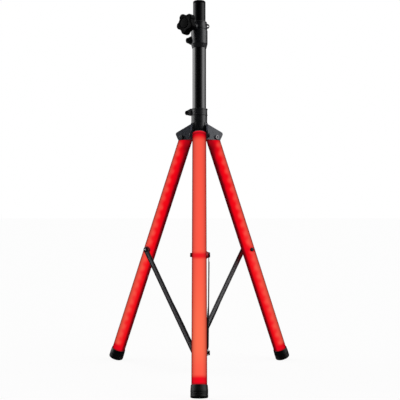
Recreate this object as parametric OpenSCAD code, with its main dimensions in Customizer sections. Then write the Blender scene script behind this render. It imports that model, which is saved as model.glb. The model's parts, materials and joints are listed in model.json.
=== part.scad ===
// Speaker tripod stand with light-diffusing legs: a telescoping pole in a mast, a cast hub that
// slides on the mast, three hinged legs with light strips inside, and three flat braces.
// Millimetres, +Z up. The origin is on the pole's axis at floor level and the front leg points
// towards -Y. Leg k is the front leg turned by 120 * k degrees about Z: 0 front, 1 right, 2 left.

/* [Pole] */
// Diameter of the pole's top tube, which enters a speaker's socket
pole_d = 35; // [34.8:0.1:35]
// Wall of the top tube
pole_wall = 1.5; // [1:0.1:2.5]
// Height of the stand with the pole at its lowest setting
stand_h = 1038; // [1025:1:1060]
// Lower end of the top tube, inside the mast
pole_bottom = 235; // [180:1:260]
// Length of the plain end that a speaker's socket covers
spigot_len = 45; // [35:1:45]

/* [Mast] */
// Diameter of the mast tube
mast_d = 38.1; // [38:0.1:38.2]
// Lower end of the mast tube
mast_bottom = 36; // [34:1:37]
// Upper end of the mast tube
mast_top = 950; // [945:1:952]
// Height of the lower brace pivots
yoke_z = 50; // [50:0.5:52]

/* [Hub] */
// Distance of the leg pivots from the pole's axis
hub_r = 43; // [43:0.5:44]
// Height of the leg pivots
hub_z = 656; // [640:1:670]
// Outer diameter of the hub's sleeve
sleeve_d = 44.7; // [44:0.1:45]
// Thickness of one hinge ear
ear_t = 4; // [3.5:0.1:4.2]

/* [Legs] */
// Angle of the open legs from the vertical
spread = 20.9; // [20:0.1:21.5]
// Diameter of the light-diffusing leg tube
leg_d = 38; // [37:0.1:38]
// Wall of the leg tube
leg_wall = 2.5; // [2:0.1:3]
// Distance from the leg's pivot to the brace bolt
brace_at = 342; // [330:1:350]
// Distance from the leg's pivot to the foot's rim
foot_at = 666; // [655:1:670]
// Diameter of the rubber foot
foot_d = 42.6; // [42:0.1:43]

/* [Lights] */
// Distance between neighbouring light-emitting diodes
led_pitch = 27; // [20:1:30]
// Width of one diode
led_w = 5; // [3:0.5:6]

/* [Braces] */
// Width of a brace bar
brace_w = 15; // [14:0.5:17]
// Thickness of a brace bar
brace_t = 2; // [1.5:0.1:2]

/* [Clamp knob] */
// Direction of the clamp screw, turned from the front towards the left
knob_turn = 39; // [30:1:75]
// Radius over the knob's lobes
knob_r = 27.5; // [24:0.5:30]
// Number of lobes
knob_lobes = 5; // [5:1:8]

/* [Light controller] */
// Width of the controller's housing
ctrl_w = 34; // [32:1:36]
// Lower edge of the housing
ctrl_z = 655; // [652:1:660]
// Height of the housing
ctrl_h = 50; // [46:1:56]

/* [Hidden] */
$fn = 72;
SIDES = ["front", "right", "left"];
LEG_NODES = ["leg_tube", "leg_top_plug", "leg_core", "led_board", "leds", "leg_end_plug", "foot",
  "brace_bolt", "brace_nut", "brace_saddles", "brace"];

// Angle between neighbouring legs
third = 120;

// Clearances of a running fit and of two faces that only face each other
run = 0.05;
gap = 0.1;
// How far a cutting tool runs past the faces it cuts, and how deep joined shapes overlap
past = 1;
join = 0.1;

// Pole and mast
pole_r = pole_d / 2;
pole_ri = pole_r - pole_wall;
cap_h = 8;
cap_round = 4;
tube_top = stand_h - cap_h;
spigot_z = tube_top - spigot_len;
mast_r = mast_d / 2;
mast_ri = pole_r + 0.35;
mast_plug_h = 3;

// Yoke at the foot of the mast
yoke_h = 24;
yoke_r = 22;
yoke_boss_r = 8.5;
pivot_r = 4;
bolt_head_r = 6.5;
yoke_face = 22.8;
yoke_head = 26;

// Collar at the head of the mast
collar_z = 905;
collar_r = 23.25;
collar_step = 955;
collar_top = 978;
head_r = 20.6;
bush_r = 18.9;
bush_run = 0.08;
lip_h = 2;
collar_ear_x = -32.5;
collar_ear_z = 927;
eye_x = 24;
eye_z = 967;
eye_r = 2.4;

// Height clamp: along its axis come the pad, the screw's boss, and the knob with its neck
knob_z = 962;
boss_r = 10.5;
boss_end = 33;
pad_r = 5.2;
pad_in = pole_r + 0.3;
pad_out = pad_in + 4.4;
screw_r = 4;
tip_r = 2.5;
neck_z = 36;
star_z = 44.5;
star_h = 19.5;
lobe_r = 9.6;
lobe_first = -8;
waist_r = knob_r - 4.5;
cap_r = 13;

// Pinch joints of the collar and of the hub's band
pinch_half = 7.5;
pinch_slit = 1.25;
pinch_r = 3;

// Hub
sleeve_r = sleeve_d / 2;
sleeve_z = hub_z - 8;
bore_r = mast_r + 0.95;
hub_bush_r = bore_r + 1;
hub_bush_z = hub_z + 34;
hub_bush_h = 22;
band_z = hub_z + 61.5;
band_r = 22.5;
band_h = 17.5;
ear_in = leg_d / 2 + 0.5;
ear_out = ear_in + ear_t;
wing_tip_r = 6.5;
hub_ear_x = -35;
hub_ear_z = band_z + 6.5;

// Legs and braces
leg_r = leg_d / 2;
leg_ri = leg_r - leg_wall;
leg_top = 5;
plug_in = 10;
end_plug_at = 645;
foot_r = foot_d / 2;
foot_rim_r = foot_r - 1;
foot_round = 6;
foot_cone = 12;
leg_len = foot_round
  + (hub_z - foot_round - (foot_r - foot_round) * sin(spread)) / cos(spread);
tube_end = foot_at + 10;
brace_x = 23.4;
saddle_x = brace_x - gap;
saddle_back = leg_r + 0.6;
nut_r = 5.5;
rib_r = 6;
rib_h = 1.2;
rib_inset = 22;
brace_z = hub_z - brace_at * cos(spread);
brace_out = hub_r + brace_at * sin(spread);
brace_len = norm([brace_out, brace_z - yoke_z]);
brace_tilt = atan2(brace_out, brace_z - yoke_z);
core_w = 20;
core_d = 18;
core_wall = 1.5;
core_y = -6;
core_top = 14;
board_t = 1;
led_h = 1.6;
led_first = 20.5;
led_count = floor((end_plug_at - led_first - led_w) / led_pitch) + 1;

// Light controller, in the angle between the two rear wings
ctrl_back = 54;
cover_t = 2;
wall = 2;
button_r = 3.9;
button_dx = 8;
button_z = ctrl_z + 16;
window_z = ctrl_z + 36;
v_slope = tan(30);
v_corner = ear_out / cos(30) + gap;
ctrl_front = v_corner + v_slope * ctrl_w / 2;
cover_y = ctrl_back - cover_t;
jack_y = 46.5;
jack_r = 4.4;

// Places its children on leg k, whose pivot is at the origin and which runs down -Z with its
// outer side towards -Y.
module on_leg(k) {
  rotate([0, 0, third * k]) translate([0, -hub_r, hub_z]) rotate([-spread, 0, 0]) children();
}

// Places its children on brace k, whose lower pivot is at the origin and which runs up +Z.
module on_brace(k) {
  rotate([0, 0, third * k]) translate([0, 0, yoke_z]) rotate([brace_tilt, 0, 0]) children();
}

// Places its children on the clamp screw's axis, which runs outwards along +Z.
module on_clamp() {
  rotate([0, 0, -90 - knob_turn]) translate([0, 0, knob_z]) rotate([0, 90, 0]) children();
}

module tube(r_out, r_in, z, h) {
  translate([0, 0, z]) difference() {
    cylinder(r = r_out, h = h);
    translate([0, 0, -1]) cylinder(r = r_in, h = h + 2);
  }
}

// A rod along X from x0 to x1.
module rod_x(r, x0, x1) {
  translate([x0, 0, 0]) rotate([0, 90, 0]) cylinder(r = r, h = x1 - x0);
}

// A rod along Y from y0 to y1.
module rod_y(r, y0, y1) {
  translate([0, y0, 0]) rotate([-90, 0, 0]) cylinder(r = r, h = y1 - y0);
}

// A disc of radius r and height h whose upper edge is rounded with radius e.
module crowned_disc(r, h, e) {
  cylinder(r = r, h = h - e);
  cylinder(r = r - e, h = h);
  translate([0, 0, h - e]) rotate_extrude() translate([r - e, 0]) circle(r = e);
}

// A crowned bolt head with a hexagon socket, standing on the XY plane.
module socket_head(r, h) {
  difference() {
    crowned_disc(r, h, min(1.2, h / 2));
    translate([0, 0, h - min(2.2, h * 0.6)]) cylinder(r = r * 0.48, h = h, $fn = 6);
  }
}

// A lock nut with a round collar, standing on the XY plane, around a bolt of radius r.
module lock_nut(r, across, h) {
  difference() {
    union() {
      cylinder(r = across / 2, h = h * 0.68, $fn = 6);
      cylinder(r = across * 0.4, h = h);
    }
    translate([0, 0, -1]) cylinder(r = r, h = h + 2);
  }
}

// ---- Mast ----

module main_tube() {
  color("#17181a") difference() {
    tube(mast_r, mast_ri, mast_bottom, mast_top - mast_bottom);
    for (k = [0:2])
      rotate([0, 0, third * k]) translate([0, 0, yoke_z]) rod_x(pivot_r + run, 0, mast_r + 5);
  }
}

module tube_plug() {
  color("#101011") {
    translate([0, 0, mast_bottom - mast_plug_h]) mirror([0, 0, 1]) translate([0, 0, -mast_plug_h])
      crowned_disc(mast_r, mast_plug_h, 1.5);
    tube(mast_ri - run, mast_ri - 2.5, mast_bottom, 8);
  }
}

module yoke() {
  color("#202225") difference() {
    union() {
      translate([0, 0, yoke_z - yoke_h / 2]) cylinder(r = yoke_r, h = yoke_h);
      for (k = [0:2])
        rotate([0, 0, third * k]) translate([0, 0, yoke_z]) rod_x(yoke_boss_r, 0, yoke_face);
    }
    translate([0, 0, yoke_z - yoke_h]) cylinder(r = mast_r, h = 2 * yoke_h);
    for (k = [0:2])
      rotate([0, 0, third * k]) translate([0, 0, yoke_z]) rod_x(pivot_r, 0, yoke_face + 1);
  }
}

module yoke_bolts() {
  color("#3a3c3f") for (k = [0:2]) rotate([0, 0, third * k]) translate([0, 0, yoke_z]) {
    rod_x(pivot_r, mast_ri - 5, yoke_head);
    translate([yoke_head, 0, 0]) rotate([0, 90, 0]) socket_head(bolt_head_r, 3.8);
  }
}

// Outline of a pinch ear in X and Z: tall at the root and round at the tip.
module pinch_outline(tip_x, tip_z, tip_r, root_x, root_low, root_high) {
  reach = tip_x - root_x;
  translate([tip_x, tip_z]) circle(r = tip_r);
  polygon([[root_x, root_low], [root_x, root_high], [root_x + reach * 0.4, root_high],
    [tip_x, tip_z + tip_r], [tip_x, tip_z - tip_r], [root_x + reach * 0.4, root_low]]);
}

// Two pinch ears towards -X with a slit between them, from an outline given in X and Z.
module pinch_ears() {
  for (side = [-1, 1]) translate([0, side * (pinch_half + pinch_slit) / 2, 0]) rotate([90, 0, 0])
    linear_extrude(height = pinch_half - pinch_slit, center = true) children();
}

// A bolt across a pair of pinch ears, with its socket head in front and its lock nut behind.
module pinch_bolt(head_r) {
  color("#3a3c3f") {
    rod_y(pinch_r, -pinch_half, pinch_half + 2);
    translate([0, -pinch_half, 0]) rotate([90, 0, 0]) socket_head(head_r, 4);
    translate([0, pinch_half, 0]) rotate([-90, 0, 0]) lock_nut(pinch_r, 11, 5.5);
  }
}

module collar() {
  color("#1d1f21") difference() {
    union() {
      translate([0, 0, collar_z]) cylinder(r1 = mast_r + 1, r2 = collar_r, h = 12);
      translate([0, 0, collar_z + 12]) cylinder(r = collar_r, h = collar_step - 1 - collar_z - 12);
      translate([0, 0, collar_step - 1]) cylinder(r = collar_r - 1.2, h = 2);
      translate([0, 0, collar_step])
        cylinder(r = head_r, h = collar_top - lip_h - collar_step);
      on_clamp() cylinder(r = boss_r, h = boss_end);
      pinch_ears()
        pinch_outline(collar_ear_x, collar_ear_z, 5.5, -20, collar_ear_z - 10, collar_ear_z + 10);
      translate([eye_x - 2, 0, eye_z]) rod_y(6.5, -2.2, 2.2);
      translate([eye_x - 8, -2.2, eye_z - 6.5]) cube([6, 4.4, 13]);
    }
    translate([0, 0, collar_z - past]) cylinder(r = mast_r, h = mast_top - collar_z + past);
    translate([0, 0, mast_top]) cylinder(r = bush_r, h = collar_top - mast_top);
    on_clamp() cylinder(r = pad_r + run, h = pad_out + 5);
    on_clamp() cylinder(r = screw_r + run, h = boss_end + past);
    translate([-45, -pinch_slit, collar_z - past]) cube([35, 2 * pinch_slit, 45]);
    translate([collar_ear_x, 0, collar_ear_z]) rod_y(pinch_r, -10, 10);
    translate([eye_x, 0, eye_z]) rod_y(eye_r, -5, 5);
  }
}

module collar_bushing() {
  color("#141415") difference() {
    union() {
      tube(bush_r, pole_r + bush_run, mast_top + gap, collar_top - lip_h - mast_top - gap);
      tube(head_r, pole_r + bush_run, collar_top - lip_h, lip_h);
    }
    on_clamp() cylinder(r = pad_r + run, h = 30);
  }
}

module collar_bolt() {
  translate([collar_ear_x, 0, collar_ear_z]) pinch_bolt(5.2);
}

// ---- Clamp screw and knob ----

module clamp_pad() {
  color("#b0883e") on_clamp() difference() {
    translate([0, 0, pad_in]) cylinder(r = pad_r, h = pad_out - pad_in);
    translate([0, 0, pad_in + 1.6]) cylinder(r = tip_r + run, h = 5);
  }
}

module clamp_screw() {
  color("#8d9094") on_clamp() {
    translate([0, 0, pad_in + 1.7]) cylinder(r = tip_r, h = 5);
    translate([0, 0, pad_out + gap]) cylinder(r = screw_r, h = star_z + 8 - pad_out - gap);
  }
}

module star_knob() {
  color("#151617") on_clamp() difference() {
    union() {
      translate([0, 0, neck_z]) cylinder(r1 = 9, r2 = 13, h = star_z + past - neck_z);
      translate([0, 0, star_z]) {
        cylinder(r = waist_r, h = star_h - 1);
        for (i = [0:knob_lobes - 1]) rotate([0, 0, lobe_first + 360 * i / knob_lobes])
          translate([knob_r - lobe_r, 0, 0]) crowned_disc(lobe_r, star_h - 2, 3.5);
      }
    }
    translate([0, 0, neck_z - past]) cylinder(r = screw_r, h = star_z + 8 - neck_z + past);
    translate([0, 0, star_z + star_h - 3]) cylinder(r = cap_r, h = 3);
  }
}

module knob_cap() {
  color("#1b1c1e") on_clamp() translate([0, 0, star_z + star_h - 3])
    crowned_disc(cap_r - run, 3, 1.2);
}

// ---- Pole ----

module inner_tube() {
  color("#1a1b1d") difference() {
    tube(pole_r, pole_ri, pole_bottom, tube_top - pole_bottom);
    tube(pole_r + past, pole_r - 0.3, spigot_z - 1, 1);
  }
}

module pole_cap() {
  color("#131415") {
    translate([0, 0, tube_top]) crowned_disc(pole_r, cap_h, cap_round);
    tube(pole_ri - run, pole_ri - 2.5, tube_top - 16, 16);
  }
}

module pole_glide() {
  color("#202123") {
    tube(mast_ri - run, 13, pole_bottom - 20, 20);
    tube(pole_ri - run, 13, pole_bottom, 18);
  }
}

// ---- Hub ----

// Outline of a hinge ear: a flat foot, a round tip and a straight slope up to the sleeve.
module wing_outline() {
  translate([hub_r + 13.5, hub_z + 9]) circle(r = wing_tip_r);
  polygon([[4, sleeve_z], [hub_r + 12, sleeve_z], [hub_r + 19.6, hub_z + 6.8],
    [hub_r + 16.4, hub_z + 14.8], [4, hub_z + 39.5]]);
}

module hub_casting() {
  color("#26282b") difference() {
    union() {
      translate([0, 0, sleeve_z]) cylinder(r = sleeve_r, h = band_z - 2 - sleeve_z);
      translate([0, 0, band_z - 3]) cylinder(r = sleeve_r - 1, h = 4);
      translate([0, 0, band_z]) cylinder(r = band_r, h = band_h);
      pinch_ears()
        pinch_outline(hub_ear_x, hub_ear_z, 5.2, -18, band_z - 1, band_z + band_h);
      for (k = [0:2], side = [-1, 1]) rotate([0, 0, third * k])
        translate([side * (ear_in + ear_out) / 2, 0, 0]) rotate([90, 0, -90])
          linear_extrude(height = ear_t, center = true) wing_outline();
    }
    translate([0, 0, sleeve_z - past])
      cylinder(r = bore_r, h = band_z + band_h - sleeve_z + 2 * past);
    translate([0, 0, hub_bush_z]) cylinder(r = hub_bush_r, h = hub_bush_h);
    translate([-60, -pinch_slit, band_z - 3]) cube([50, 2 * pinch_slit, band_h + 5]);
    translate([hub_ear_x, 0, hub_ear_z]) rod_y(pinch_r, -10, 10);
    for (k = [0:2]) rotate([0, 0, third * k]) translate([0, -hub_r, hub_z])
      rod_x(pivot_r, -ear_out - past, ear_out + past);
  }
}

module hub_bushing() {
  color("#141415") tube(hub_bush_r - run, bore_r, hub_bush_z, hub_bush_h);
}

module hub_screw() {
  translate([hub_ear_x, 0, hub_ear_z]) pinch_bolt(5);
}

module hub_pivot_bolts() {
  color("#3a3c3f") for (k = [0:2]) rotate([0, 0, third * k]) translate([0, -hub_r, hub_z]) {
    rod_x(pivot_r, -ear_out, ear_out + 5.5);
    translate([-ear_out, 0, 0]) rotate([0, -90, 0]) socket_head(bolt_head_r, 4);
  }
}

module hub_pivot_nuts() {
  color("#3a3c3f") for (k = [0:2]) rotate([0, 0, third * k])
    translate([ear_out, -hub_r, hub_z]) rotate([0, 90, 0]) lock_nut(pivot_r, 13, 5);
}

// ---- Light controller ----

module control_housing() {
  color("#1b1c1e") difference() {
    translate([0, 0, ctrl_z]) linear_extrude(height = ctrl_h)
      polygon([[0, v_corner], [ctrl_w / 2, ctrl_front], [ctrl_w / 2, cover_y],
        [-ctrl_w / 2, cover_y], [-ctrl_w / 2, ctrl_front]]);
    translate([wall - ctrl_w / 2, ctrl_front + 2, ctrl_z + wall])
      cube([ctrl_w - 2 * wall, 30, ctrl_h - 2 * wall]);
    translate([0, jack_y, ctrl_z - past]) cylinder(r = jack_r + gap, h = 5);
  }
}

module control_cover() {
  color("#202124") difference() {
    translate([-ctrl_w / 2, cover_y, ctrl_z]) cube([ctrl_w, cover_t, ctrl_h]);
    for (x = [-button_dx, button_dx])
      translate([x, 0, button_z]) rod_y(button_r + gap, cover_y - past, ctrl_back + past);
    translate([-6, cover_y - past, window_z - 4]) cube([12, cover_t + 2 * past, 8]);
  }
}

module control_board() {
  color("#1f5a37") difference() {
    translate([-13.5, ctrl_front + 3.5, ctrl_z + 4]) cube([27, 1.6, ctrl_h - 8]);
    translate([0, jack_y, ctrl_z]) cylinder(r = jack_r + 1.2, h = 14);
  }
}

module ir_window() {
  color("#33070a") {
    translate([-6 + run, cover_y, window_z - 4 + run]) cube([12 - 2 * run, cover_t, 8 - 2 * run]);
    translate([-8, cover_y - 1.2, window_z - 6]) cube([16, 1.2, 12]);
  }
}

module button(x) {
  color("#2b2c2f") translate([x, 0, button_z]) {
    rod_y(button_r + 1.2, cover_y - 2, cover_y - 0.4);
    rod_y(button_r, cover_y - 2, ctrl_back + 1.6);
  }
}

module dc_jack() {
  color("#0f0f10") translate([0, jack_y, ctrl_z]) {
    tube(jack_r, 3.2, -1.5, 11);
    translate([0, 0, 9]) cylinder(r = jack_r, h = 2);
    cylinder(r = 1, h = 9.5);
  }
}

// ---- Legs ----

module leg_tube(k) {
  color("#e8323a") on_leg(k) difference() {
    tube(leg_r, leg_ri, -tube_end, tube_end + leg_top);
    rod_x(pivot_r + 0.6, -leg_r - past, leg_r + past);
    translate([0, 0, -brace_at]) rod_x(pivot_r + run, -leg_r - past, leg_r + past);
  }
}

module leg_top_plug(k) {
  color("#161718") on_leg(k) difference() {
    union() {
      translate([0, 0, -plug_in]) cylinder(r = leg_ri - run, h = plug_in + leg_top);
      translate([0, 0, leg_top]) crowned_disc(leg_r - 0.4, 2.6, 1.3);
    }
    rod_x(pivot_r + run, -leg_r - past, leg_r + past);
  }
}

module leg_core(k) {
  color("#b9bcc0") on_leg(k) difference() {
    translate([-core_w / 2, core_y, -end_plug_at]) cube([core_w, core_d, end_plug_at - core_top]);
    translate([core_wall - core_w / 2, core_y + core_wall, -end_plug_at - 1])
      cube([core_w - 2 * core_wall, core_d - 2 * core_wall, end_plug_at]);
    translate([0, 0, -brace_at]) rod_x(pivot_r + run, -core_w, core_w);
  }
}

module led_board(k) {
  color("#f2f2ec") on_leg(k)
    translate([-6, core_y - board_t, 4 - end_plug_at])
      cube([12, board_t, end_plug_at - core_top - 4]);
}

module leds(k) {
  color("#fff4c8") on_leg(k) for (i = [0:led_count - 1])
    translate([0, core_y - board_t - led_h / 2, -led_first - i * led_pitch])
      cube([led_w, led_h, led_w], center = true);
}

module leg_end_plug(k) {
  color("#161718") on_leg(k) translate([0, 0, -tube_end])
    cylinder(r = leg_ri - run, h = tube_end - end_plug_at - gap);
}

module foot(k) {
  color("#131314") on_leg(k) difference() {
    union() {
      mirror([0, 0, 1]) {
        translate([0, 0, foot_at]) cylinder(r1 = foot_rim_r, r2 = foot_r, h = foot_cone);
        translate([0, 0, foot_at + foot_cone - join])
          crowned_disc(foot_r, leg_len + join - foot_at - foot_cone, foot_round);
      }
    }
    translate([0, 0, -tube_end]) cylinder(r = leg_r, h = tube_end);
    for (at = [4, 8]) tube(foot_r + past, foot_rim_r - 0.5, -foot_at - at - 1.2, 1.2);
  }
}

module brace_bolt(k) {
  color("#3a3c3f") on_leg(k) translate([0, 0, -brace_at]) {
    rod_x(pivot_r, -saddle_back - 2, brace_x + brace_t + gap);
    translate([brace_x + brace_t + gap, 0, 0]) rotate([0, 90, 0]) socket_head(bolt_head_r, 2.2);
  }
}

// A domed nut with a blind hole.
module brace_nut(k) {
  color("#3a3c3f") on_leg(k) translate([-saddle_back, 0, -brace_at]) rotate([0, -90, 0])
    difference() {
      crowned_disc(nut_r, 4, 2);
      translate([0, 0, -past]) cylinder(r = pivot_r, h = 2 + past);
    }
}

// A conical saddle on the bar's side and a thin one under the nut, both cut to the tube.
module brace_saddles(k) {
  color("#1c1d1f") on_leg(k) difference() {
    translate([0, 0, -brace_at]) {
      translate([17, 0, 0]) rotate([0, 90, 0]) cylinder(r1 = 11, r2 = 7, h = saddle_x - 17);
      rod_x(nut_r, -saddle_back, -12);
    }
    translate([0, 0, -brace_at - 20]) cylinder(r = leg_r, h = 40);
    translate([0, 0, -brace_at]) rod_x(pivot_r, -30, 30);
  }
}

// ---- Braces ----

// A bar with a pressed rib on its outer side. The rear bars close the linkage at the yoke, so
// their lower holes are wider.
module brace(k) {
  hole_r = pivot_r + (k == 0 ? run : 1);
  brace_out_x = brace_x + brace_t;
  color("#191a1c") on_brace(k) difference() {
    union() {
      translate([brace_x, -brace_w / 2, 0]) cube([brace_t, brace_w, brace_len]);
      rod_x(brace_w / 2, brace_x, brace_out_x);
      translate([0, 0, brace_len]) rod_x(brace_w / 2, brace_x, brace_out_x);
      intersection() {
        translate([brace_out_x + rib_h - rib_r, 0, rib_inset])
          cylinder(r = rib_r, h = brace_len - 2 * rib_inset);
        translate([brace_x + brace_t / 2, -brace_w, 0]) cube([5, 2 * brace_w, brace_len]);
      }
    }
    rod_x(hole_r, brace_x - past, brace_out_x + past);
    translate([0, 0, brace_len]) rod_x(pivot_r + run, brace_x - past, brace_out_x + past);
  }
}

main_tube();
tube_plug();
yoke();
yoke_bolts();
collar();
collar_bushing();
collar_bolt();
clamp_pad();
clamp_screw();
star_knob();
knob_cap();
inner_tube();
pole_cap();
pole_glide();
hub_casting();
hub_bushing();
hub_screw();
hub_pivot_bolts();
hub_pivot_nuts();
control_housing();
control_cover();
control_board();
ir_window();
button(-button_dx);  // power_button
button(button_dx);  // mode_button
dc_jack();
for (k = [0:2]) {
  leg_tube(k);
  leg_top_plug(k);
  leg_core(k);
  led_board(k);
  leds(k);
  leg_end_plug(k);
  foot(k);
  brace_bolt(k);
  brace_nut(k);
  brace_saddles(k);
  brace(k);
}
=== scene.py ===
"""Looks for the lighted speaker tripod stand: materials, detailed pieces, studio and camera."""

import json
import math

import bmesh
import bpy
from mathutils import Matrix, Vector


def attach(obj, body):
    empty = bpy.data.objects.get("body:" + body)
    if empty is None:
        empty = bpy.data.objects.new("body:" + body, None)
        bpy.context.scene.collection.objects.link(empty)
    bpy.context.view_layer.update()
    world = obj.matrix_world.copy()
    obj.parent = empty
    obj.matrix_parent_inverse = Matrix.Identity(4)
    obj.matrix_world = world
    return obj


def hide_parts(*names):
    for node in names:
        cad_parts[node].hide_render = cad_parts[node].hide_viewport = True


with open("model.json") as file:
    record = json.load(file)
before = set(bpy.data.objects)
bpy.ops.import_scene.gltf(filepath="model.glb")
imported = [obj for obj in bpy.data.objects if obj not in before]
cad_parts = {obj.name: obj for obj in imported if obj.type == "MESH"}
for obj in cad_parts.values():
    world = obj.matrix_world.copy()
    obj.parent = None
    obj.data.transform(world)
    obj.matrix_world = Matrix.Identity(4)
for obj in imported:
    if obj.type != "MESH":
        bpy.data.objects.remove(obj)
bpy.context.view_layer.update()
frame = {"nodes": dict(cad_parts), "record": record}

SIDES = ("front", "right", "left")

# The legs' and braces' places in metres, which the painted patterns follow.
HUB_R = 0.043
HUB_Z = 0.656
SPREAD = math.radians(20.9)
LEG_R = 0.019
BRACE_AT = 0.342
END_PLUG_AT = 0.645
FOOT_AT = 0.666
YOKE_Z = 0.050
BRACE_TILT = math.radians(29.94)
# The row of diodes in each leg.
LED_FIRST = 0.0205
LED_PITCH = 0.027
# Light that the tube's outer skin lets through where it is seen square on.
COAT_PASS = 0.47

# Sizes of the pieces that are built here, in millimetres.
MM = 0.001
KNOB_TURN = 39
KNOB_Z = 962
STAR_BACK = 44.5
STAR_FRONT = 65.3
STAR_R = 29.5
LOBE_R = 9.8
WAIST_R = 23
LOBES = 5
LOBE_FIRST = -8
# Power that blends the lobes into the waist, and roundings of the head's back and front edges.
LOBE_BLEND = 30
BACK_ROUND = 4.2
FRONT_ROUND = 3.6
STAR_POINTS = 160
CAP_R = 13
FOOT_R = 21.3
FOOT_RIM_R = 20.3
SOCKET_R = 19.05
SOCKET_END = 676
FOOT_END = 695.9
PIN_X = 27.7
PIN_R = 2.4

# The lips on the braces: the bar's inner face, then each height with the lip's depth there.
BAR_X = 23.4
LIP_DEPTHS = ((18.5, 1.2), (19.5, 2.2), (22, 3.0), (95, 3.0), (125, 2.3), (150, 1.0), (158, 0.3))

# Raised beads on the castings: name, body, radius, lower and upper end, and the half angle of
# the gap that leaves the clamp's bore free.
BEADS = (("collar_bead", "mast", 22.2, 957, 964.5, 21),
         ("collar_lip", "mast", 21.4, 974.5, 978.3, 0),
         ("hub_bead", "hub", 23.3, 716, 719, 0),
         ("hub_lip", "hub", 23.4, 732, 735.3, 0))
BEAD_DEPTH = 2.5

# Roundings of the CAD nodes' own edges.
EDGES = {"hub_casting": 0.8, "collar": 0.7, "yoke": 0.7, "control_housing": 1.2,
         "control_cover": 0.5}

# Slots whose nodes have one material for each side.
SIDED_SLOTS = ("diffuser_red", "brace_black")
# Nodes that look different from the rest of their slot: start of the name, and material.
OWN_LOOKS = {"hub_casting": "hub_black", "inner_tube": "pole_black",
             "brace_saddles_": "saddle_smoke", "hub_pivot_": "pivot_steel"}

# The studio's soft boxes: turned a little, lit at both sides of the stand and dark elsewhere.
BOX_TURN = (0.258, 1.0, 0.0)
BOX_SHIFT = -0.17
BOX_LIGHT = 2.8
OVERHEAD_LIGHT = 0.25
# Brightness across the boxes, from the camera's side to behind the stand, within BOX_SPAN.
BOX_SPAN = 1.25
BOX_STOPS = ((-1.05, 0.0), (-0.92, 0.05), (-0.72, 0.14), (-0.56, 0.70), (-0.40, 1.0),
             (0.05, 1.0), (0.30, 0.45), (0.45, 0.22), (0.60, 0.01))

# Colours of the dark castings, mouldings and of their worn edges.
CASTING = (0.010, 0.011, 0.0135)
MOULDING = (0.012, 0.012, 0.0135)
KNOB_PLASTIC = (0.002, 0.002, 0.0023)
WORN_CASTING = (0.05, 0.05, 0.055)


# ---- Camera and studio ----

def make_camera():
    """A level view of the front leg, as tall as the stand, from just under two metres."""
    data = bpy.data.cameras.new("camera")
    data.sensor_width = 36.0
    data.lens = 60.25
    data.shift_x = 0.0018
    data.shift_y = 0.0218
    camera = bpy.data.objects.new("camera", data)
    bpy.context.collection.objects.link(camera)
    camera.location = (0.0, -1.88, 0.455)
    camera.rotation_euler = (math.radians(90), 0, 0)
    bpy.context.scene.camera = camera


def add_node(tree, kind, inputs=(), **settings):
    """Adds a shader node; each input is a constant or another node's output."""
    made = tree.nodes.new(kind)
    for key, value in settings.items():
        setattr(made, key, value)
    for key, value in dict(inputs).items():
        if hasattr(value, "is_output"):
            tree.links.new(value, made.inputs[key])
        else:
            made.inputs[key].default_value = value
    return made


def set_stops(node, stops):
    """Sets a colour ramp's stops, each (position, (r, g, b)) or (position, grey)."""
    elements = node.color_ramp.elements
    while len(elements) < len(stops):
        elements.new(0.5)
    for element, (position, colour) in zip(elements, stops):
        rgb = colour if isinstance(colour, tuple) else (colour, colour, colour)
        element.position = position
        element.color = (*rgb, 1)


def make_world():
    """White where the camera sees it; other rays meet soft boxes at both sides, dim overhead."""
    world = bpy.data.worlds.new("studio")
    world.use_nodes = True
    bpy.context.scene.world = world
    tree = world.node_tree
    tree.nodes.clear()
    direction = add_node(tree, "ShaderNodeTexCoord").outputs["Generated"]
    behind = add_node(tree, "ShaderNodeVectorMath", {0: direction, 1: BOX_TURN},
                      operation="DOT_PRODUCT")
    place = add_node(tree, "ShaderNodeMapRange", {"Value": behind.outputs["Value"],
                     "From Min": -BOX_SPAN - BOX_SHIFT, "From Max": BOX_SPAN - BOX_SHIFT})
    box = add_node(tree, "ShaderNodeValToRGB", {"Fac": place.outputs["Result"]})
    set_stops(box, [((depth + BOX_SPAN) / (2 * BOX_SPAN), light) for depth, light in BOX_STOPS])
    height = add_node(tree, "ShaderNodeSeparateXYZ", {"Vector": direction}).outputs["Z"]
    overhead = add_node(tree, "ShaderNodeMapRange",
                        {"Value": height, "From Min": 0.70, "From Max": 0.92,
                         "To Min": BOX_LIGHT, "To Max": OVERHEAD_LIGHT},
                        interpolation_type="SMOOTHSTEP")
    lit = add_node(tree, "ShaderNodeBackground", {"Color": box.outputs["Color"],
                   "Strength": overhead.outputs["Result"]})
    seen = add_node(tree, "ShaderNodeBackground", {"Color": (1, 1, 1, 1), "Strength": 1.0})
    path = add_node(tree, "ShaderNodeLightPath")
    both = add_node(tree, "ShaderNodeMixShader", {0: path.outputs["Is Camera Ray"],
                    1: lit.outputs[0], 2: seen.outputs[0]})
    add_node(tree, "ShaderNodeOutputWorld", {"Surface": both.outputs[0]})


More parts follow.
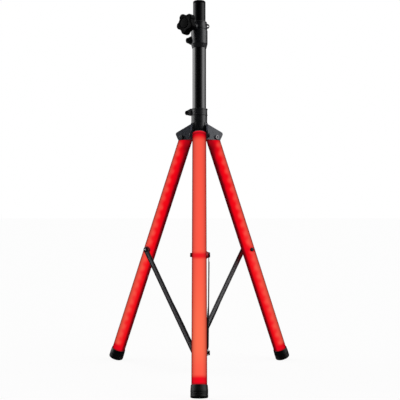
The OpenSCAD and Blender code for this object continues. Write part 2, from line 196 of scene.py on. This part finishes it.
def make_floor():
    """A pale floor that shows white, with only a trace of shadow, and stays dim in reflections."""
    size = 30.0
    mesh = bpy.data.meshes.new("floor")
    corners = [(-size, -size, 0), (size, -size, 0), (size, size, 0), (-size, size, 0)]
    mesh.from_pydata(corners, [], [(0, 1, 2, 3)])
    floor = bpy.data.objects.new("floor", mesh)
    bpy.context.collection.objects.link(floor)
    floor.location.z = -0.0005
    paper = Look("paper_floor")
    white = paper.node("ShaderNodeEmission", {"Color": (1, 1, 1, 1), "Strength": 1.0})
    shaded = paper.node("ShaderNodeBsdfDiffuse", {"Color": (0.9, 0.9, 0.9, 1)})
    dim = paper.node("ShaderNodeBsdfDiffuse", {"Color": (0.12, 0.12, 0.12, 1)})
    shown = paper.node("ShaderNodeMixShader", {0: 0.92, 1: shaded.outputs[0],
                       2: white.outputs[0]})
    path = paper.node("ShaderNodeLightPath")
    both = paper.node("ShaderNodeMixShader", {0: path.outputs["Is Camera Ray"],
                      1: dim.outputs[0], 2: shown.outputs[0]})
    surface = paper.tree.nodes["Material Output"].inputs["Surface"]
    paper.tree.links.new(both.outputs[0], surface)
    mesh.materials.append(paper.material)


# ---- Material building ----

class Look:
    """Builds one procedural material around a Principled shader."""

    def __init__(self, name):
        self.material = bpy.data.materials.new(name)
        self.material.use_nodes = True
        self.tree = self.material.node_tree
        self.shader = self.tree.nodes["Principled BSDF"]
        self.place = self.node("ShaderNodeTexCoord").outputs["Object"]

    def node(self, kind, inputs=(), **settings):
        """Adds a node to this material."""
        return add_node(self.tree, kind, inputs, **settings)

    def set(self, **values):
        """Sets constants on the shader's own sockets; an underscore stands for a space."""
        for name, value in values.items():
            self.shader.inputs[name.replace("_", " ")].default_value = value

    def wire(self, output, socket):
        """Links an output to one of the shader's sockets."""
        self.tree.links.new(output, self.shader.inputs[socket])

    def math(self, operation, a, b=0.0, c=0.0):
        """One step of arithmetic on outputs or constants."""
        return self.node("ShaderNodeMath", {0: a, 1: b, 2: c}, operation=operation).outputs[0]

    def times(self, a, b):
        """The product of two outputs or constants."""
        return self.math("MULTIPLY", a, b)

    def most(self, a, b):
        """The larger of two outputs or constants."""
        return self.math("MAXIMUM", a, b)

    def noise(self, scale, detail=3.0, stretch=(1, 1, 1), vector=None):
        """Soft noise over the object's own space, or over the given vector."""
        place = self.node("ShaderNodeMapping",
                          {"Vector": vector or self.place, "Scale": stretch}).outputs[0]
        return self.node("ShaderNodeTexNoise", {"Vector": place, "Scale": scale,
                         "Detail": detail}).outputs["Fac"]

    def ramp(self, value, *stops):
        """A colour ramp over value."""
        made = self.node("ShaderNodeValToRGB", {"Fac": value})
        set_stops(made, stops)
        return made.outputs["Color"]

    def step(self, value, low, high, to_low=0.0, to_high=1.0):
        """A smooth step of value between low and high."""
        return self.node("ShaderNodeMapRange", {"Value": value, "From Min": low,
                         "From Max": high, "To Min": to_low, "To Max": to_high},
                         interpolation_type="SMOOTHSTEP").outputs["Result"]

    def mix(self, factor, a, b):
        """Mixes two colours, each an output or an (r, g, b)."""
        colours = [c if hasattr(c, "is_output") else (*c, 1) for c in (a, b)]
        return self.node("ShaderNodeMix", {0: factor, 6: colours[0], 7: colours[1]},
                         data_type="RGBA").outputs[2]

    def bump(self, height, distance, normal=None):
        """A normal roughened by height, on top of the given normal."""
        inputs = {"Height": height, "Distance": distance}
        if normal is not None:
            inputs["Normal"] = normal
        return self.node("ShaderNodeBump", inputs).outputs["Normal"]

    def soft_edges(self, radius):
        """A normal that rounds sharp edges by the given radius."""
        return self.node("ShaderNodeBevel", {"Radius": radius}, samples=6).outputs["Normal"]

    def edge_mask(self, radius):
        """Near 1 on sharp edges and 0 elsewhere."""
        rounded = self.soft_edges(radius)
        flat = self.node("ShaderNodeNewGeometry").outputs["Normal"]
        match = self.node("ShaderNodeVectorMath", {0: rounded, 1: flat},
                          operation="DOT_PRODUCT").outputs["Value"]
        return self.step(match, 0.995, 0.80)


def grained(name, colour, rough, grain, depth, spread=0.35, worn=None, edge=0.0006,
            metallic=0.0, gloss=0.5, outer=()):
    """A painted or moulded surface: fine grain, uneven gloss and lighter, worn edges.

    Each of outer is (distance from the mast's axis, lowest height, colour) in metres, and the
    surface takes that colour past both.
    """
    look = Look(name)
    look.set(Metallic=metallic, Specular_IOR_Level=gloss)
    cloud = look.noise(scale=38.0, detail=4.0)
    darker = tuple(c * (1 - spread) for c in colour)
    lighter = tuple(c * (1 + spread) for c in colour)
    tone = look.ramp(cloud, (0.3, darker), (0.7, lighter))
    if outer:
        split = look.node("ShaderNodeSeparateXYZ", {0: look.place})
        squares = [look.math("POWER", split.outputs[axis], 2.0) for axis in "XY"]
        away = look.math("SQRT", look.math("ADD", *squares))
        for radius, low, shade in outer:
            mask = look.times(look.step(away, radius - 0.001, radius + 0.002),
                              look.step(split.outputs["Z"], low - 0.002, low))
            tone = look.mix(mask, tone, shade)
    if worn:
        speckle = look.noise(scale=420.0)
        mask = look.times(look.edge_mask(edge * 1.5), look.step(speckle, 0.42, 0.62))
        tone = look.mix(look.times(mask, 0.7), tone, worn)
    look.wire(tone, "Base Color")
    look.wire(look.step(look.noise(scale=90.0, detail=5.0), 0.3, 0.7,
                        rough * 0.82, rough * 1.2), "Roughness")
    fine = look.noise(scale=1.0 / grain, detail=2.0)
    look.wire(look.bump(fine, depth, look.soft_edges(edge)), "Normal")
    return look.material


def tube_paint(name, coat, gloss):
    """Gloss black powder coat with a faint orange peel and fine marks along the tube."""
    look = Look(name)
    look.set(Coat_Weight=coat, Coat_Roughness=0.08, Specular_IOR_Level=gloss)
    streaks = look.noise(scale=60.0, detail=5.0, stretch=(12, 12, 0.35))
    look.wire(look.ramp(streaks, (0.35, (0.0015, 0.0015, 0.002)), (0.75, (0.004, 0.004, 0.005))),
              "Base Color")
    look.wire(look.step(streaks, 0.3, 0.8, 0.20, 0.34), "Roughness")
    peel = look.noise(scale=520.0, detail=1.0)
    look.wire(look.bump(peel, 0.00002), "Normal")
    return look.material


def leg_place(look, k):
    """In leg k's own axes: the distance outwards in tube radii, the one along, and the position."""
    turn = math.radians(120 * k)
    pivot = (HUB_R * math.sin(turn), -HUB_R * math.cos(turn), HUB_Z)
    local = look.node("ShaderNodeMapping", {"Vector": look.place, "Location": pivot,
                      "Rotation": (-SPREAD, 0, turn)}, vector_type="TEXTURE").outputs[0]
    split = look.node("ShaderNodeSeparateXYZ", {0: local})
    outward = look.times(split.outputs["Y"], -1 / LEG_R)
    along = look.times(split.outputs["Z"], -1.0)
    return outward, along, local


def diode_light(look, outward, along, local):
    """The tube's red: brightest outside, blotched by the diodes and warmer lower down."""
    cycle = look.times(look.math("SUBTRACT", along, LED_FIRST), math.tau / LED_PITCH)
    wave = look.math("COSINE", cycle)
    window = look.times(look.step(outward, -0.75, -0.25), look.step(outward, 0.95, 0.45))
    reach = look.times(look.times(wave, window), 0.16)
    cloud = look.noise(scale=70.0, vector=local)
    drift = look.step(cloud, 0.3, 0.7, -0.06, 0.06)
    paler = look.step(along, 0.06, 0.45, -0.12, 0.26)
    lit = look.math("ADD", look.math("ADD", outward, reach), look.math("ADD", drift, paler))
    glow = look.ramp(look.math("MULTIPLY_ADD", lit, 0.5, 0.5),
                     (0.00, (0.36, 0.003, 0.007)), (0.05, (0.62, 0.001, 0.008)),
                     (0.13, (0.84, 0.001, 0.008)), (0.25, (0.89, 0.004, 0.009)),
                     (0.32, (0.92, 0.014, 0.018)), (0.40, (0.95, 0.035, 0.033)),
                     (0.50, (0.97, 0.060, 0.047)), (0.60, (0.99, 0.088, 0.058)),
                     (1.00, (1.00, 0.104, 0.064)))
    lower = look.times(look.step(along, 0.32, 0.56), look.step(along, 0.645, 0.575))
    warm = look.times(look.step(outward, 0.2, 0.8), lower)
    return look.mix(look.times(warm, 0.8), glow, (1.0, 0.170, 0.082))


def diffuser(k):
    """The frosted tube of leg k, lit red from a row of diodes that face outwards."""
    look = Look("diffuser_red_" + SIDES[k])
    outward, along, local = leg_place(look, k)
    glow = diode_light(look, outward, along, local)
    # Deep red at the top and at the lower plug, and a painted shadow of the brace bolt in a level
    # band round it.
    level = look.math("MULTIPLY_ADD", outward, -LEG_R * math.tan(SPREAD), along)
    from_bolt = look.math("ABSOLUTE", look.math("SUBTRACT", level, BRACE_AT))
    foot = look.step(along, END_PLUG_AT - 0.003, END_PLUG_AT + 0.008)
    bolt = look.step(from_bolt, 0.013, 0.002, 0.0, 0.92)
    top = look.step(along, 0.026, 0.006)
    glow = look.mix(look.most(look.most(top, foot), bolt), glow, (0.86, 0.002, 0.012))
    # Dark lines where the tube enters the foot and just below the pivot.
    rim = look.step(along, FOOT_AT - 0.006, FOOT_AT)
    neck = look.times(look.step(along, 0.006, 0.002), look.step(along, -0.003, 0.001))
    glow = look.mix(look.times(look.most(rim, neck), 0.6), glow, (0.20, 0.006, 0.010))
    # A painted highlight: paler pink on the tube's end above the pivot.
    crown_highlight = look.step(along, -0.001, -0.006)
    glow = look.mix(look.times(crown_highlight, 0.7), glow, (0.70, 0.050, 0.085))
    # Shade along the inner side, wider near the top.
    under = look.times(look.step(along, 0.055, 0.022), look.step(outward, 0.0, -0.8))
    back = look.step(outward, -0.82, -0.985)
    shade = look.most(look.times(under, 0.6), look.times(back, 0.80))
    glow = look.mix(shade, glow, (0.08, 0.002, 0.005))
    look.wire(glow, "Emission Color")
    look.set(Emission_Strength=1.0 / COAT_PASS, Roughness=0.5, Specular_IOR_Level=0.05,
             Coat_Weight=1.0, Coat_Roughness=0.25, Coat_IOR=1.02,
             Coat_Tint=(COAT_PASS, COAT_PASS, COAT_PASS, 1))
    look.wire(look.mix(0.85, glow, (0.05, 0.002, 0.003)), "Base Color")
    look.wire(look.bump(look.noise(scale=900.0, detail=1.0), 0.00001), "Normal")
    return look.material


def brace_paint(k):
    """Black paint on brace k's bar, with a painted highlight in light grey along its pressed middle
    and black on the turned edges.
    """
    look = Look("brace_black_" + SIDES[k])
    turn = math.radians(120 * k)
    local = look.node("ShaderNodeMapping", {"Vector": look.place, "Location": (0, 0, YOKE_Z),
                      "Rotation": (BRACE_TILT, 0, turn)}, vector_type="TEXTURE").outputs[0]
    off = look.math("ABSOLUTE", look.node("ShaderNodeSeparateXYZ", {0: local}).outputs["Y"])
    cloud = look.noise(scale=45.0)
    # Painted highlight: the light grey band down the bar's pressed middle.
    pale = look.ramp(cloud, (0.3, (0.140, 0.145, 0.155)), (0.7, (0.165, 0.171, 0.182)))
    look.wire(look.mix(look.step(off, 0.0062, 0.0008), (0.010, 0.010, 0.011), pale),
              "Base Color")
    look.wire(look.step(cloud, 0.3, 0.7, 0.30, 0.42), "Roughness")
    grain = look.noise(scale=1100.0, detail=2.0)
    look.wire(look.bump(grain, 0.00003, look.soft_edges(0.0004)), "Normal")
    look.set(Specular_IOR_Level=0.3)
    return look.material


def make_materials():
    """Every material by name."""
    looks = {"brace_black_" + SIDES[k]: brace_paint(k) for k in range(3)}
    looks.update({"diffuser_red_" + SIDES[k]: diffuser(k) for k in range(3)})
    return looks | {
        "tube_black": tube_paint("tube_black", 0.6, 0.5),
        "pole_black": tube_paint("pole_black", 0.05, 0.16),
        "cast_black": grained("cast_black", CASTING, 0.30, 0.0011, 0.00005,
                              worn=WORN_CASTING),
        # The hub's wings, past 24.5 mm from the axis, take a lighter slate tone; above 0.70 m the
        # eye, from 23.5 to 32.5 mm out, is painted light grey as a painted sheen, and its tip stays
        # black.
        "hub_black": grained("hub_black", CASTING, 0.32, 0.0011, 0.00005, worn=WORN_CASTING,
                             outer=((0.0245, 0.0, (0.036, 0.042, 0.058)),
                                    (0.0235, 0.70, (0.13, 0.13, 0.135)),
                                    (0.0325, 0.70, (0.010, 0.010, 0.012)))),
        "moulded_black": grained("moulded_black", MOULDING, 0.52, 0.0007, 0.00003),
        "cap_black": grained("cap_black", KNOB_PLASTIC, 0.30, 0.0012, 0.00001, gloss=0.03),
        "knob_black": grained("knob_black", KNOB_PLASTIC, 0.34, 0.0006, 0.00003,
                              worn=(0.010, 0.010, 0.011), gloss=0.03),
        "bolt_steel": grained("bolt_steel", (0.012, 0.012, 0.013), 0.34, 0.0005, 0.00001,
                              gloss=0.25, edge=0.0003, worn=(0.03, 0.03, 0.032)),
        "saddle_smoke": grained("saddle_smoke", (0.36, 0.008, 0.016), 0.40, 0.0007, 0.00002,
                                gloss=0.2),
        "pivot_steel": grained("pivot_steel", (0.11, 0.11, 0.115), 0.28, 0.0005, 0.00001,
                               metallic=1.0, edge=0.0003),
        # Painted glint: the brace pins' ends are near white so that they show as bright dots.
        "pin_steel": grained("pin_steel", (0.90, 0.90, 0.92), 0.45, 0.0004, 0.00001,
                             spread=0.05, edge=0.0003),
        "screw_steel": grained("screw_steel", (0.42, 0.43, 0.45), 0.30, 0.0004, 0.00001,
                               spread=0.12, metallic=1.0, edge=0.0003),
        "pad_brass": grained("pad_brass", (0.62, 0.44, 0.18), 0.32, 0.0004, 0.00001,
                             spread=0.12, metallic=1.0, edge=0.0003),
        "control_shell": grained("control_shell", MOULDING, 0.55, 0.0005, 0.00004),
        "circuit_board": grained("circuit_board", (0.02, 0.16, 0.07), 0.35, 0.0006, 0.00001),
        "ir_plastic": grained("ir_plastic", (0.10, 0.006, 0.010), 0.10, 0.002, 0.000005),
        "button_grey": grained("button_grey", (0.05, 0.05, 0.055), 0.55, 0.0004, 0.00003),
        "core_aluminium": grained("core_aluminium", (0.62, 0.63, 0.65), 0.38, 0.0008, 0.00001,
                                  spread=0.08, metallic=1.0),
        "board_white": grained("board_white", (0.82, 0.82, 0.80), 0.4, 0.0008, 0.00001,
                               spread=0.05),
        "led_light": grained("led_light", (0.95, 0.60, 0.45), 0.3, 0.0008, 0.00001,
                             spread=0.05),
        "foot_rubber": grained("foot_rubber", (0.003, 0.003, 0.003), 0.40, 0.0008, 0.00004,
                               gloss=0.22, edge=0.0008),
    }


def dress_nodes(materials):
    """Gives every CAD node the material of its slot, of its side or of its own."""
    slots = {entry["node"]: entry["material_slot"] for entry in frame["record"]["subparts"]}
    for name, piece in frame["nodes"].items():
        chosen = slots[name]
        if chosen in SIDED_SLOTS:
            chosen += "_" + name.rsplit("_", 1)[1]
        for start, own in OWN_LOOKS.items():
            if name.startswith(start):
                chosen = own
        for place in piece.material_slots:
            place.material = materials[chosen]


# ---- Pieces in finer mesh work ----

def softened(corners, steps=6):
    """Rounds a profile of (radius, height, rounding) corners; a rounding of 0 stays sharp."""
    points = []
    for i, (r, z, rounding) in enumerate(corners):
        corner = Vector((r, z))
        if rounding == 0:
            points.append(corner)
            continue
        back = Vector(corners[i - 1][:2]) - corner
        ahead = Vector(corners[i + 1][:2]) - corner
        cut = rounding / math.tan(back.angle(ahead) / 2)
        start = corner + back.normalized() * min(cut, 0.49 * back.length)
        end = corner + ahead.normalized() * min(cut, 0.49 * ahead.length)
        for step in range(steps + 1):
            t = step / steps
            points.append((1 - t) ** 2 * start + 2 * t * (1 - t) * corner + t ** 2 * end)
    return points


def ring_mesh(name, rings, place, capped=True):
    """A closed mesh through rings of points in millimetres, set at place in the shared frame."""
    mesh = bpy.data.meshes.new(name)
    count = len(rings[0])
    faces = []
    for row in range(len(rings) - 1):
        for i in range(count):
            j = (i + 1) % count
            low, high = row * count, (row + 1) * count
            faces.append((low + i, low + j, high + j, high + i))
    if capped:
        faces.append(tuple(range(count)))
        faces.append(tuple(range((len(rings) - 1) * count, len(rings) * count)))
    mesh.from_pydata([p for ring in rings for p in ring], [], faces)
    mesh.transform(place @ Matrix.Scale(MM, 4))
    shape = bmesh.new()
    shape.from_mesh(mesh)
    bmesh.ops.remove_doubles(shape, verts=shape.verts, dist=1e-7)
    bmesh.ops.recalc_face_normals(shape, faces=shape.faces)
    shape.to_mesh(mesh)
    shape.free()
    mesh.shade_smooth()
    mesh.set_sharp_from_angle(angle=math.radians(40))
    return mesh


def circle(radius, z, count=96):
    """A ring of points about the Z axis."""
    return [(radius * math.cos(math.tau * i / count), radius * math.sin(math.tau * i / count), z)
            for i in range(count)]


def lathe(name, corners, place):
    """A body of revolution about the local Z axis from a softened profile."""
    return ring_mesh(name, [circle(max(r, 0.001), z) for r, z in softened(corners)], place)


def add_piece(mesh, body, material, slot, *nodes):
    """Adds a piece that rides on a body and stands for the named CAD nodes, if any."""
    piece = bpy.data.objects.new(mesh.name, mesh)
    bpy.context.collection.objects.link(piece)
    mesh.materials.append(material)
    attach(piece, body)
    if nodes:
        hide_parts(*nodes)


def clamp_place():
    """The clamp screw's axis: local Z runs outwards from the pole."""
    return (Matrix.Rotation(math.radians(-90 - KNOB_TURN), 4, "Z")
            @ Matrix.Translation((0, 0, KNOB_Z * MM)) @ Matrix.Rotation(math.radians(90), 4, "Y"))


def leg_matrix(k):
    """Leg k's own axes: the pivot at the origin, -Z along the leg, -Y outwards."""
    return (Matrix.Rotation(math.radians(120 * k), 4, "Z")
            @ Matrix.Translation((0, -HUB_R, HUB_Z)) @ Matrix.Rotation(-SPREAD, 4, "X"))


def star_radius(angle):
    """The knob's outline: round lobes that blend into a round waist."""
    centre = STAR_R - LOBE_R
    sector = math.tau / LOBES
    off = (angle - math.radians(LOBE_FIRST) + sector / 2) % sector - sector / 2
    side = centre * math.sin(off)
    lobe = 0.0
    if abs(side) < LOBE_R:
        lobe = centre * math.cos(off) + math.sqrt(LOBE_R ** 2 - side ** 2)
    return (lobe ** LOBE_BLEND + WAIST_R ** LOBE_BLEND) ** (1 / LOBE_BLEND)


def star_ring(inset, z, spread=1.0, hub=0.0):
    """A ring of the knob, between a circle of radius hub and the inset outline."""
    ring = []
    for i in range(STAR_POINTS):
        angle = math.tau * i / STAR_POINTS
        radius = hub + (star_radius(angle) - inset - hub) * spread
        ring.append((radius * math.cos(angle), radius * math.sin(angle), z))
    return ring


def star_knob(materials):
    """The knob: a conical neck, a five-lobed head with full edges and a dished face."""
    neck = ((4.1, -5), (4.1, -8.5), (8.4, -8.5), (9.0, -7.9), (12.0, -1.6), (13.4, -0.3))
    rings = [circle(radius, STAR_BACK + rise, STAR_POINTS) for radius, rise in neck]
    rings += [star_ring(BACK_ROUND, STAR_BACK, 0.5, 13.4), star_ring(BACK_ROUND, STAR_BACK)]
    for step in range(1, 8):
        turn = math.radians(90 * step / 7)
        rings.append(star_ring(BACK_ROUND * (1 - math.sin(turn)),
                               STAR_BACK + BACK_ROUND * (1 - math.cos(turn))))
    for step in range(8):
        turn = math.radians(90 * step / 7)
        rings.append(star_ring(FRONT_ROUND * (1 - math.cos(turn)),
                               STAR_FRONT - FRONT_ROUND * (1 - math.sin(turn))))
    rings.append(star_ring(FRONT_ROUND, STAR_FRONT - 0.25, 0.5, CAP_R + 1.6))
    seat = ((1.0, -0.5), (0.3, -0.9), (0.2, -2))
    rings += [circle(CAP_R + gap, STAR_FRONT + rise, STAR_POINTS) for gap, rise in seat]
    add_piece(ring_mesh("star_knob_head", rings, clamp_place()), "star_knob",
              materials["knob_black"], "knob_black", "star_knob")
    cap = [(0, STAR_FRONT - 2, 0), (CAP_R, STAR_FRONT - 2, 0), (CAP_R, STAR_FRONT + 0.4, 0.9),
           (CAP_R - 2.2, STAR_FRONT + 0.9, 0.6), (CAP_R - 3, STAR_FRONT + 0.55, 0.3),
           (CAP_R - 4, STAR_FRONT + 0.75, 0.5), (0, STAR_FRONT + 0.95, 0)]
    add_piece(lathe("knob_face_cap", cap, clamp_place()), "star_knob", materials["cap_black"],
              "knob_black", "knob_cap")


def foot(k, materials):
    """A moulded foot: a soft rim, a slight flare, two grooves and a ribbed sole."""
    top = -FOOT_AT / MM
    sole = -FOOT_END
    corners = [(0, -SOCKET_END, 0), (SOCKET_R, -SOCKET_END, 0), (SOCKET_R, top, 0.3),
               (FOOT_RIM_R, top, 0.9), (FOOT_R, top - 13, 6)]
    for groove in (17.5, 22):
        corners += [(FOOT_R, top - groove, 0.25), (FOOT_R - 0.8, top - groove - 0.5, 0.3),
                    (FOOT_R - 0.8, top - groove - 0.9, 0.3), (FOOT_R, top - groove - 1.4, 0.25)]
    corners += [(FOOT_R, sole, 5.5), (14.5, sole, 0.3)]
    for rib in (13, 9.5, 6):
        corners += [(rib + 1.4, sole + 1, 0.3), (rib, sole + 1, 0.3), (rib - 0.1, sole, 0.3),
                    (rib - 2, sole, 0.3)]
    corners += [(3, sole + 1, 0.3), (0, sole + 1, 0)]
    add_piece(lathe("foot_rubber_" + SIDES[k], corners, leg_matrix(k)), "leg_" + SIDES[k],
              materials["foot_rubber"], "foot_rubber", "foot_" + SIDES[k])


def pin_end(k, materials):
    """The end of the pin in leg k's brace bolt, near white as a painted glint."""
    corners = [(0, PIN_X - 0.6, 0), (PIN_R, PIN_X - 0.6, 0), (PIN_R, PIN_X + 0.5, 0.5),
               (0, PIN_X + 0.6, 0)]
    place = (leg_matrix(k) @ Matrix.Translation((0, 0, -BRACE_AT))
             @ Matrix.Rotation(math.radians(90), 4, "Y"))
    add_piece(lathe("brace_pin_" + SIDES[k], corners, place), "leg_" + SIDES[k],
              materials["pin_steel"], "screw_steel")


def brace_lips(k, materials):
    """Lips turned in along brace k's edges near its foot, running out upwards."""
    place = (Matrix.Rotation(math.radians(120 * k), 4, "Z") @ Matrix.Translation((0, 0, YOKE_Z))
             @ Matrix.Rotation(BRACE_TILT, 4, "X"))
    for side, name in ((1, "_inner"), (-1, "_outer")):
        rings = []
        for height, depth in LIP_DEPTHS:
            low, high = BAR_X - depth, BAR_X + 0.5
            rings.append([(low, side * 7.2, height), (low + 0.25, side * 7.45, height),
                          (high, side * 7.45, height), (high, side * 5.9, height),
                          (low + 0.25, side * 5.9, height), (low, side * 6.15, height)])
        add_piece(ring_mesh("brace_lip_" + SIDES[k] + name, rings, place), "brace_" + SIDES[k],
                  materials["brace_black_" + SIDES[k]], "brace_black")


def pole_cap(materials):
    """The pole's cap: a pillowed top over a skirt that sits in the tube."""
    corners = [(0, 1038, 0), (11, 1037.8, 2), (17.5, 1036.6, 3.6), (17.5, 1030.3, 0.4),
               (16.0, 1030.0, 0), (15.9, 1014, 0.4), (13.5, 1014, 0.4), (13.5, 1030, 0),
               (0, 1030, 0)]
    add_piece(lathe("pole_end_cap", corners, Matrix.Identity(4)), "pole",
              materials["cap_black"], "moulded_black", "pole_cap")


def open_sweep(profile, gap, steps=96):
    """Rings of a profile carried round the Z axis, with a gap in degrees each side of the clamp."""
    rings = []
    for i in range(steps + 1):
        turn = math.radians(-90 - KNOB_TURN + gap + (360 - 2 * gap) * i / steps)
        rings.append([(r * math.cos(turn), r * math.sin(turn), z) for r, z in profile])
    return rings


def cast_beads(materials):
    """Raised beads cast round the collar's head and round the hub's clamp band."""
    for name, body, radius, low, high, gap in BEADS:
        root = radius - BEAD_DEPTH
        corners = [(root, low, 0), (radius, low + 0.3, 0.5), (radius, high - 0.6, 0.8),
                   (radius - 1, high, 0.3), (root, high, 0), (root, low, 0)]
        profile = softened(corners)
        rings = open_sweep(profile[:-1], gap) if gap else [circle(r, z) for r, z in profile]
        add_piece(ring_mesh(name, rings, Matrix.Identity(4), bool(gap)), body,
                  materials["cast_black"], "cast_black")


def round_edges():
    """Rounds the cast and moulded nodes' sharp edges in the mesh itself."""
    for name, width in EDGES.items():
        bevel = frame["nodes"][name].modifiers.new("round_edges", "BEVEL")
        bevel.width = width * MM
        bevel.segments = 2
        bevel.limit_method = "ANGLE"
        bevel.angle_limit = math.radians(35)
        bevel.harden_normals = True


make_camera()
make_world()
make_floor()
materials = make_materials()
dress_nodes(materials)
star_knob(materials)
for k in range(3):
    foot(k, materials)
    pin_end(k, materials)
    brace_lips(k, materials)
pole_cap(materials)
cast_beads(materials)
round_edges()

bpy.context.scene.view_settings.view_transform = "Standard"
